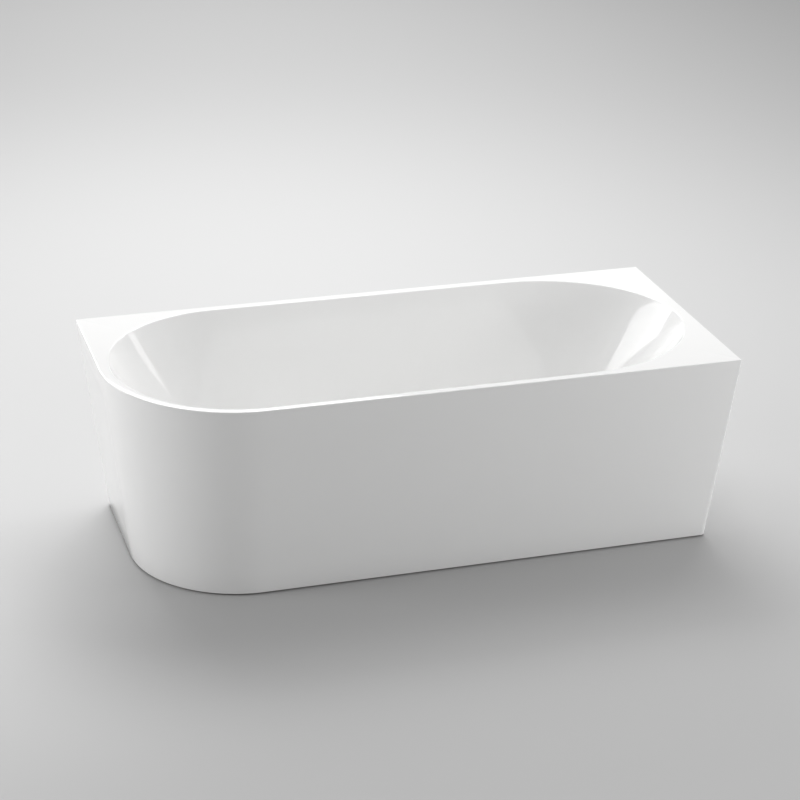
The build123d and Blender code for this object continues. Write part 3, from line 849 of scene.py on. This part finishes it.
def make_plug_cap():
    outline = [(CAP_RADIUS * share, CAP_UNDER + CAP_EDGE + CAP_CROWN * (1 - share ** 2))
               for share in np.linspace(0, 1, CAP_POINTS)]
    outline += [(CAP_RADIUS, CAP_UNDER), (HUB_RADIUS, CAP_UNDER), (HUB_RADIUS, HUB_UNDER),
                (STEM_BORE, HUB_UNDER), (STEM_BORE, CAP_UNDER), (0, CAP_UNDER)]
    bm = bmesh.new()
    spin(bm, soft_outline(outline, CAP_SOFT), WASTE_CENTRE)
    return finish_mesh(bm, "plug_dome")


hang(make_plug_cap(), "plug", "chrome", "plug_cap")

# %% [markdown]
# The waste flange lies in the floor's shallow dish. Its mouth is a cone that the plug's seal closes, and
# a cross with a boss in the middle carries the plug's cartridge.

# %% Waste flange
TAIL_END, TAIL_BORE = 103 * MM, 20.5 * MM
FLANGE_OUTLINE = [(20.5, 103), (23.9, 103), (23.9, 121.05), (26.8, 121.05), (26.8, 129), (36, 129),
                  (36, 130), (33.5, 131.5), (26, 131.5), (20.5, 126)]
CROSS_THICK, CROSS_WIDE = 3 * MM, 4 * MM
BOSS_RADIUS, BOSS_BORE = 9 * MM, 6.05 * MM
FLANGE_SOFT, BOSS_SOFT = 0.5 * MM, 0.4 * MM
ARM_OVERLAP, ARM_INSET = 0.5 * MM, 0.1 * MM


def block(bm, low, high, turn, centre):
    """Add a box between two corners, turned about an upright axis."""
    made = bmesh.ops.create_cube(bm, size=1)["verts"]
    size = Vector(high) - Vector(low)
    middle = (Vector(high) + Vector(low)) / 2
    place = Matrix.Translation((*centre, 0)) @ Matrix.Rotation(turn, 4, "Z") @ Matrix.Translation(middle)
    bmesh.ops.transform(bm, matrix=place @ Matrix.Diagonal((*size, 1)), verts=made)


def make_waste_flange():
    bm = bmesh.new()
    spin(bm, soft_outline([(r * MM, z * MM) for r, z in FLANGE_OUTLINE], FLANGE_SOFT), WASTE_CENTRE)
    low, high = TAIL_END, TAIL_END + CROSS_THICK
    boss = [(BOSS_BORE, low), (BOSS_RADIUS, low), (BOSS_RADIUS, high), (BOSS_BORE, high)]
    spin(bm, soft_outline(boss, BOSS_SOFT), WASTE_CENTRE)
    for quarter in range(4):
        block(bm, (BOSS_RADIUS - ARM_OVERLAP, -CROSS_WIDE / 2, low + ARM_INSET),
              (TAIL_BORE + ARM_OVERLAP, CROSS_WIDE / 2, high - ARM_INSET), quarter * math.pi / 2,
              WASTE_CENTRE)
    return finish_mesh(bm, "waste_mouth")


hang(make_waste_flange(), "bath", SLOTS["waste_flange"], "waste_flange")

# %% [markdown]
# Six feet carry the bath. A foot's pad is moulded with shallow pockets between ribs, which saves plastic
# and stops it from shrinking. The pockets follow a rule on the angle, so the rings are pushed in by it.

# %% Foot pads
FEET_X = (-450 * MM, 150 * MM, 470 * MM)
FOOT_Y = 215.4685 * MM
FEET = [(x, side * FOOT_Y) for x in FEET_X for side in (-1, 1)]
PAD_RIBS = 12
RIB_SLOPE, RIB_SHARE = 2.2, 0.5
POCKET = 1.6 * MM
PAD_OUTLINE = [(0, 0), (29.2, 0), (30, 0.8), (30, 4.2), (29.2, 5), (27.5, 6.0), (25, 7.8), (20, 11.8),
               (16, 15.2), (14.2, 16.7), (13, 17.6), (12.4, 18), (6.05, 18), (6.05, 8), (0, 8)]
POCKET_FROM, POCKET_TO = 15 * MM, 28 * MM
PAD_STEPS = 96
FOOT_SHARP = 50


def make_pad(number, centre):
    bm = bmesh.new()
    spin(bm, [(r * MM, z * MM) for r, z in PAD_OUTLINE], centre, PAD_STEPS)
    for vertex in bm.verts:
        out = Vector((vertex.co.x - centre[0], vertex.co.y - centre[1]))
        if POCKET_FROM < out.length < POCKET_TO and vertex.co.z > POCKET:
            angle = math.atan2(out.y, out.x) * PAD_RIBS / 2
            vertex.co.z -= POCKET * min(1, max(0, RIB_SLOPE * abs(math.sin(angle)) - RIB_SHARE))
    return finish_mesh(bm, f"pad_form_{number}", FOOT_SHARP)


for number, place in enumerate(FEET, start=1):
    hang(make_pad(number, place), f"pad_{number}", "foot_plastic", f"foot_pad_{number}")

# %% [markdown]
# Each stud has an M12 thread of 1.75 mm pitch. A thread is a rule: the radius depends on how far the
# height has run ahead of the turn. The tree rolls a grid into a rod and sets that radius, and fades the
# thread out into a point at both ends.

# %% Threaded rod tree
THREAD = {"Radius": 6 * MM, "Pitch": 1.75 * MM, "Depth": 0.95 * MM, "End taper": 1.2 * MM}
STUD_LOW, STUD_HIGH = 8.1 * MM, 119 * MM
ROD_COLUMNS = 20
ROWS_A_TURN = 4


def rod_tree():
    sizes = dict.fromkeys(("Radius", "Pitch", "Depth", "End taper", "Low", "High"), "Float")
    inputs = {**sizes, "Centre": "Vector", "Columns": "Int", "Rows": "Int"}
    tree, value = new_tree("threaded_rod", inputs)
    grid, turn, share = unit_grid(tree, value["Columns"], value["Rows"])
    long = calc(tree, "SUBTRACT", value["High"], value["Low"])
    along = calc(tree, "MULTIPLY", share, long)
    ahead = calc(tree, "SUBTRACT", calc(tree, "DIVIDE", along, value["Pitch"]), turn)
    flank = calc(tree, "PINGPONG", ahead, 0.5)
    cut = calc(tree, "MULTIPLY", calc(tree, "MULTIPLY", flank, 2), value["Depth"])
    to_end = calc(tree, "MINIMUM", along, calc(tree, "SUBTRACT", long, along))
    taper = calc(tree, "MAXIMUM", calc(tree, "SUBTRACT", value["End taper"], to_end), 0)
    radius = calc(tree, "SUBTRACT", value["Radius"], calc(tree, "MAXIMUM", cut, taper))
    angle = calc(tree, "MULTIPLY", turn, 2 * math.pi)
    axes = {"X": calc(tree, "MULTIPLY", radius, calc(tree, "COSINE", angle)),
            "Y": calc(tree, "MULTIPLY", radius, calc(tree, "SINE", angle)),
            "Z": calc(tree, "ADD", along, value["Low"])}
    places = node(tree, "ShaderNodeCombineXYZ", axes)[0]
    return close_tree(tree, value, bend_grid(tree, grid, places, FINE_WELD, value["Centre"]))


ROD_TREE = rod_tree()
print("rod tree nodes", len(ROD_TREE.nodes))

# %% [markdown]
# A real hexagon head or nut is turned as well as milled: a cone cuts its six corners. So the level of
# its upper edge drops with the distance from the axis, which gives the curved edges seen on every nut.

# %% Hexagon forms
HEX_STEPS = 48
CORNER_SLOPE = math.tan(math.radians(30))
FACE_SHARE = 0.96


def hexagon_reach(flats, angle):
    return flats / 2 / math.cos((angle + math.pi / 6) % (math.pi / 3) - math.pi / 6)


def hexagon(bm, flats, low, high, bore, centre=(0, 0)):
    """Add a hexagon with turned corners and a hole, between two levels."""
    face = FACE_SHARE * flats / 2
    angles = np.linspace(0, 2 * math.pi, HEX_STEPS, endpoint=False)
    reach = [hexagon_reach(flats, angle) for angle in angles]
    flat, hole = [face] * HEX_STEPS, [bore] * HEX_STEPS
    rings = []
    for radii, level, slope in ((flat, low, 0), (reach, low, 1), (reach, high, -1), (flat, high, 0),
                                (hole, high, 0), (hole, low, 0)):
        rings.append([polar(radius, angle, level + slope * (radius - face) * CORNER_SLOPE, centre)
                      for radius, angle in zip(radii, angles)])
    join_loops(bm, rings + rings[:1])


# %% [markdown]
# A stud is the threaded rod with its hexagon collar, which a spanner turns to level the bath. The rod
# comes out of the tree with open ends, so each end is filled before the collar is added.

# %% Studs
COLLAR_FLATS = 17 * MM
COLLAR_LOW, COLLAR_HIGH = 18.05 * MM, 25 * MM


def make_stud(number, centre):
    rows = round((STUD_HIGH - STUD_LOW) / THREAD["Pitch"] * ROWS_A_TURN)
    values = {**THREAD, "Low": STUD_LOW, "High": STUD_HIGH, "Centre": (*centre, 0),
              "Columns": ROD_COLUMNS, "Rows": rows, "Material": FINISHES["foot_steel"]}
    rod = grow_piece(f"stud_thread_{number}", ROD_TREE, values)
    bm = bmesh.new()
    bm.from_mesh(rod.data)
    bmesh.ops.holes_fill(bm, edges=[edge for edge in bm.edges if edge.is_boundary], sides=0)
    hexagon(bm, COLLAR_FLATS, COLLAR_LOW, COLLAR_HIGH, THREAD["Radius"] - THREAD["Depth"] / 2, centre)
    bmesh.ops.remove_doubles(bm, verts=bm.verts, dist=FINE_WELD)
    bpy.data.objects.remove(rod)
    return finish_mesh(bm, f"stud_form_{number}", FOOT_SHARP)


for number, place in enumerate(FEET, start=1):
    hang(make_stud(number, place), f"stud_{number}", "foot_steel", f"foot_stud_{number}")

# %% [markdown]
# Small fasteners repeat, so one tree places them all: it puts a fastener on each point, aims it along
# the point's own direction and gives it a turn of its own, since screw heads rarely line up.

# %% Fastener tree


def fastener_tree():
    tree, value = new_tree("fasteners", {"Fastener": "Object", "Seed": "Int"})
    aim = geo(tree, "InputNamedAttribute", {"Name": "aim"}, data_type="FLOAT_VECTOR")
    align = node(tree, "FunctionNodeAlignRotationToVector", {"Vector": aim["Attribute"]}, axis="Z")
    chance = node(tree, "FunctionNodeRandomValue", {"Min": 0, "Max": math.pi, "Seed": value["Seed"]},
                  data_type="FLOAT")
    spun = node(tree, "ShaderNodeCombineXYZ", {"Z": chance["Value"]})
    rotate = node(tree, "FunctionNodeRotateRotation", {0: align[0], 1: spun[0]},
                  rotation_space="LOCAL")
    model = geo(tree, "ObjectInfo", {"Object": value["Fastener"], "As Instance": True})
    copies = {"Points": value["Geometry"], "Instance": model["Geometry"],
              "Rotation": rotate[0]}
    return close_tree(tree, value, geo(tree, "InstanceOnPoints", copies)[0])


FASTENER_TREE = fastener_tree()


def set_fasteners(name, model, places, slot, seed):
    """Put copies of a fastener's mesh on places of (point, direction), as one piece of the bath."""
    points = bpy.data.meshes.new(name + "_points")
    points.from_pydata([tuple(point) for point, _ in places], [], [])
    aims = points.attributes.new("aim", "FLOAT_VECTOR", "POINT")
    for item, (_, direction) in zip(aims.data, places):
        item.vector = direction
    values = {"Fastener": model, "Seed": seed, "Material": FINISHES[slot]}
    piece = grow_piece(name, FASTENER_TREE, values, points)
    piece.data.set_sharp_from_angle(angle=math.radians(SHARP_DEGREES))
    bpy.data.objects.remove(model)
    hang(piece, "bath", slot)


# %% [markdown]
# The lock nuts under the cross bars stop the studs from turning by themselves. The frame's screws go up
# through the bars' lips into the board, and the angles' screws go into the batten.

# %% Nuts and screws
NUT_FLATS, NUT_HIGH = 18 * MM, 6 * MM
NUT_LOW = 70 * MM
SCREW_FLATS, SCREW_HIGH = 10 * MM, 4 * MM
WASHER_RADIUS, WASHER_HIGH = 6 * MM, 1 * MM
LIP_UNDER = 107 * MM
LIP_MIDDLE = 20 * MM
LIP_SCREWS_Y = (-80 * MM, 80 * MM)
BATTEN_FACE = 306.47 * MM
ANGLE_WALL = 3 * MM
ANGLE_SCREW_X = 10 * MM
ANGLE_SCREW_Z = 60 * MM
ANGLE_BUTTON = (4.5 * MM, 2.6 * MM, 3 * MM)
COVER_BUTTON = (3.6 * MM, 1.6 * MM, 2.2 * MM)
COVER_SCREW_X = 49.5 * MM
BUTTON_OUTLINE = ((1, 0), (1, 0.35), (0.96, 0.6), (0.86, 0.82), (0.7, 0.96), (0.62, 1))
SOCKET_FLOOR = 0.4
SOLID_BORE = 0.2 * MM
NUT_GAP, WASHER_SOFT = 0.05 * MM, 0.3 * MM


def hexagon_model(flats, high, bore, washer=0):
    bm = bmesh.new()
    if washer:
        outline = [(0, 0), (washer, 0), (washer, WASHER_HIGH), (0, WASHER_HIGH)]
        spin(bm, soft_outline(outline, WASHER_SOFT), steps=HEX_STEPS)
    hexagon(bm, flats, WASHER_HIGH / 2 if washer else 0, high, bore)
    return finish_mesh(bm, "fastener_model")


def button_model(radius, high, socket_flats):
    """A round head with a hexagon socket, its bearing face at zero."""
    angles = np.linspace(0, 2 * math.pi, HEX_STEPS, endpoint=False)
    socket = [hexagon_reach(socket_flats, angle) for angle in angles]
    forms = [([radius * share] * HEX_STEPS, level) for share, level in BUTTON_OUTLINE]
    forms += [(socket, 1), (socket, SOCKET_FLOOR)]
    bm = bmesh.new()
    rows = join_loops(bm, [[polar(reach, angle, high * level) for reach, angle in zip(radii, angles)]
                           for radii, level in forms])
    bm.faces.new(rows[0])
    bm.faces.new(rows[-1])
    return finish_mesh(bm, "button_model")


UPWARD, DOWNWARD = Vector((0, 0, 1)), Vector((0, 0, -1))
set_fasteners("lock_nuts", hexagon_model(NUT_FLATS, NUT_HIGH, THREAD["Radius"] + NUT_GAP),
              [((x, y, NUT_LOW), UPWARD) for x, y in FEET], "foot_steel", seed=3)
set_fasteners("frame_screws", hexagon_model(SCREW_FLATS, SCREW_HIGH, SOLID_BORE, WASHER_RADIUS),
              [((x + side * LIP_MIDDLE, y, LIP_UNDER), DOWNWARD)
               for x in FEET_X for side in (-1, 1) for y in LIP_SCREWS_Y], "foot_steel", seed=5)
set_fasteners("angle_screws", button_model(*ANGLE_BUTTON),
              [((x + shift * ANGLE_SCREW_X, side * (BATTEN_FACE - ANGLE_WALL), ANGLE_SCREW_Z),
                Vector((0, -side, 0))) for x in FEET_X for side in (-1, 1) for shift in (-1, 1)],
              "foot_steel", seed=7)
inward = (WALL_PLACE.to_3x3() @ UPWARD).normalized()
set_fasteners("cover_screws", button_model(*COVER_BUTTON),
              [(WALL_PLACE @ Vector((side * COVER_SCREW_X, 0, COVER_THICK)), inward) for side in (-1, 1)],
              "chrome", seed=9)

# %% [markdown]
# The overflow pipe is corrugated so that it bends without folding flat. The tree rounds the route's
# corner, then lets the radius rise and fall along it, apart from the smooth ends in their sockets.

# %% Overflow pipe
PIPE_START = Vector((0, -40.5 * MM, 95 * MM))
PIPE_OFFSET = 20.5 * MM
PIPE_TOP_DROP = 18 * MM
PIPE = {"Bend radius": 80 * MM, "Pipe radius": 10 * MM, "Rib depth": 1.5 * MM, "Rib pitch": 5 * MM,
        "Smooth end": 24 * MM, "Step": 0.8 * MM}
BEND_POINTS, ROUND_POINTS = 64, 24


def pipe_tree():
    tree, value = new_tree("corrugated_pipe", dict.fromkeys(PIPE, "Float"))
    route = geo(tree, "MeshToCurve", {"Mesh": value["Geometry"]})
    bend = {"Curve": route[0], "Count": BEND_POINTS, "Radius": value["Bend radius"]}
    bent = geo(tree, "FilletCurve", bend, mode="POLY")
    steps = geo(tree, "ResampleCurve", {"Curve": bent[0], "Length": value["Step"]},
                 mode="LENGTH")
    run = geo(tree, "SplineParameter")["Length"]
    whole = geo(tree, "SplineLength")["Length"]
    to_end = calc(tree, "MINIMUM", run, calc(tree, "SUBTRACT", whole, run))
    ribbed = calc(tree, "GREATER_THAN", to_end, value["Smooth end"])
    phase = calc(tree, "MULTIPLY", calc(tree, "DIVIDE", run, value["Rib pitch"]), 2 * math.pi)
    half_wave = calc(tree, "MULTIPLY", calc(tree, "COSINE", phase), 0.5)
    dip = calc(tree, "MULTIPLY", calc(tree, "SUBTRACT", 0.5, half_wave), ribbed)
    share = calc(tree, "DIVIDE", calc(tree, "MULTIPLY", dip, value["Rib depth"]), value["Pipe radius"])
    circle = geo(tree, "CurvePrimitiveCircle",
                  {"Resolution": ROUND_POINTS, "Radius": value["Pipe radius"]})
    skin = geo(tree, "CurveToMesh",
                {"Curve": steps[0], "Profile Curve": circle[0],
                 "Scale": calc(tree, "SUBTRACT", 1, share), "Fill Caps": True})
    return close_tree(tree, value, skin[0])


def make_overflow_pipe():
    top = WALL_PLACE @ Vector((0, -PIPE_TOP_DROP, -PIPE_OFFSET))
    up = (WALL_PLACE.to_3x3() @ Vector((0, 1, 0))).normalized()
    corner = top - up * ((top.z - PIPE_START.z) / up.z)
    route = bpy.data.meshes.new("overflow_route")
    route.from_pydata([tuple(PIPE_START), tuple(corner), tuple(top)], [(0, 1), (1, 2)], [])
    values = {**PIPE, "Material": FINISHES[SLOTS["overflow_pipe"]]}
    pipe = grow_piece("corrugated_overflow", pipe_tree(), values, route)
    pipe.data.shade_smooth()
    return pipe


hang(make_overflow_pipe(), "bath", SLOTS["overflow_pipe"], "overflow_pipe")

# %% [markdown]
# The remaining pieces keep their CAD shape. No real edge is perfectly sharp, though, and a soft edge is
# what catches the light, so a copy of each is merged, cleared of its flat triangles and bevelled.

# %% Soft edges for the plain pieces
SOFT_WIDTHS = {
    "skirt_batten": 0.8, "base_board": 0.8, "frame_rail_front": 1.5, "frame_rail_back": 1.5,
    "frame_cross_left": 0.6, "frame_cross_middle": 0.6, "frame_cross_right": 0.6, "skirt_brackets": 0.6,
    "waste_gasket_upper": 0.3, "waste_gasket_lower": 0.3, "waste_body": 0.5, "plug_seal": 0.3,
    "plug_stem": 0.3, "plug_cartridge": 0.3, "overflow_gasket": 0.3, "overflow_body": 0.6,
    "overflow_nut": 0.5, "trap_body": 1.2, "trap_inlet_nut": 0.6, "trap_outlet_nut": 0.6,
}
FLAT_ANGLE = math.radians(1)
BEVEL_ANGLE = math.radians(32)
SOFT_SHARP = 28
BODY_OF = {part: body for body, parts in frame["record"]["behaviour"]["bodies"].items()
           for part in parts}


def soften_copy(name, width):
    bm = bmesh.new()
    bm.from_mesh(frame["nodes"][name].data)
    bmesh.ops.remove_doubles(bm, verts=bm.verts, dist=WELD)
    bmesh.ops.dissolve_limit(bm, angle_limit=FLAT_ANGLE, verts=bm.verts, edges=bm.edges)
    edges = [edge for edge in bm.edges if edge.is_manifold and edge.calc_face_angle(0) > BEVEL_ANGLE]
    bmesh.ops.bevel(bm, geom=edges, offset=width, segments=2, profile=0.5, affect="EDGES",
                    clamp_overlap=True)
    return finish_mesh(bm, "soft_" + name, SOFT_SHARP)


for name, width in SOFT_WIDTHS.items():
    hang(soften_copy(name, width * MM), BODY_OF[name], SLOTS[name], name)
print("softened", len(SOFT_WIDTHS))

# %% [markdown]
# Every CAD piece gets the finish of its own slot too, so that nothing is left bare.

# %% Finishes of the CAD pieces
for name, item in frame["nodes"].items():
    item.data.materials.clear()
    item.data.materials.append(FINISHES[SLOTS[name]])
print("CAD pieces finished", len(frame["nodes"]))
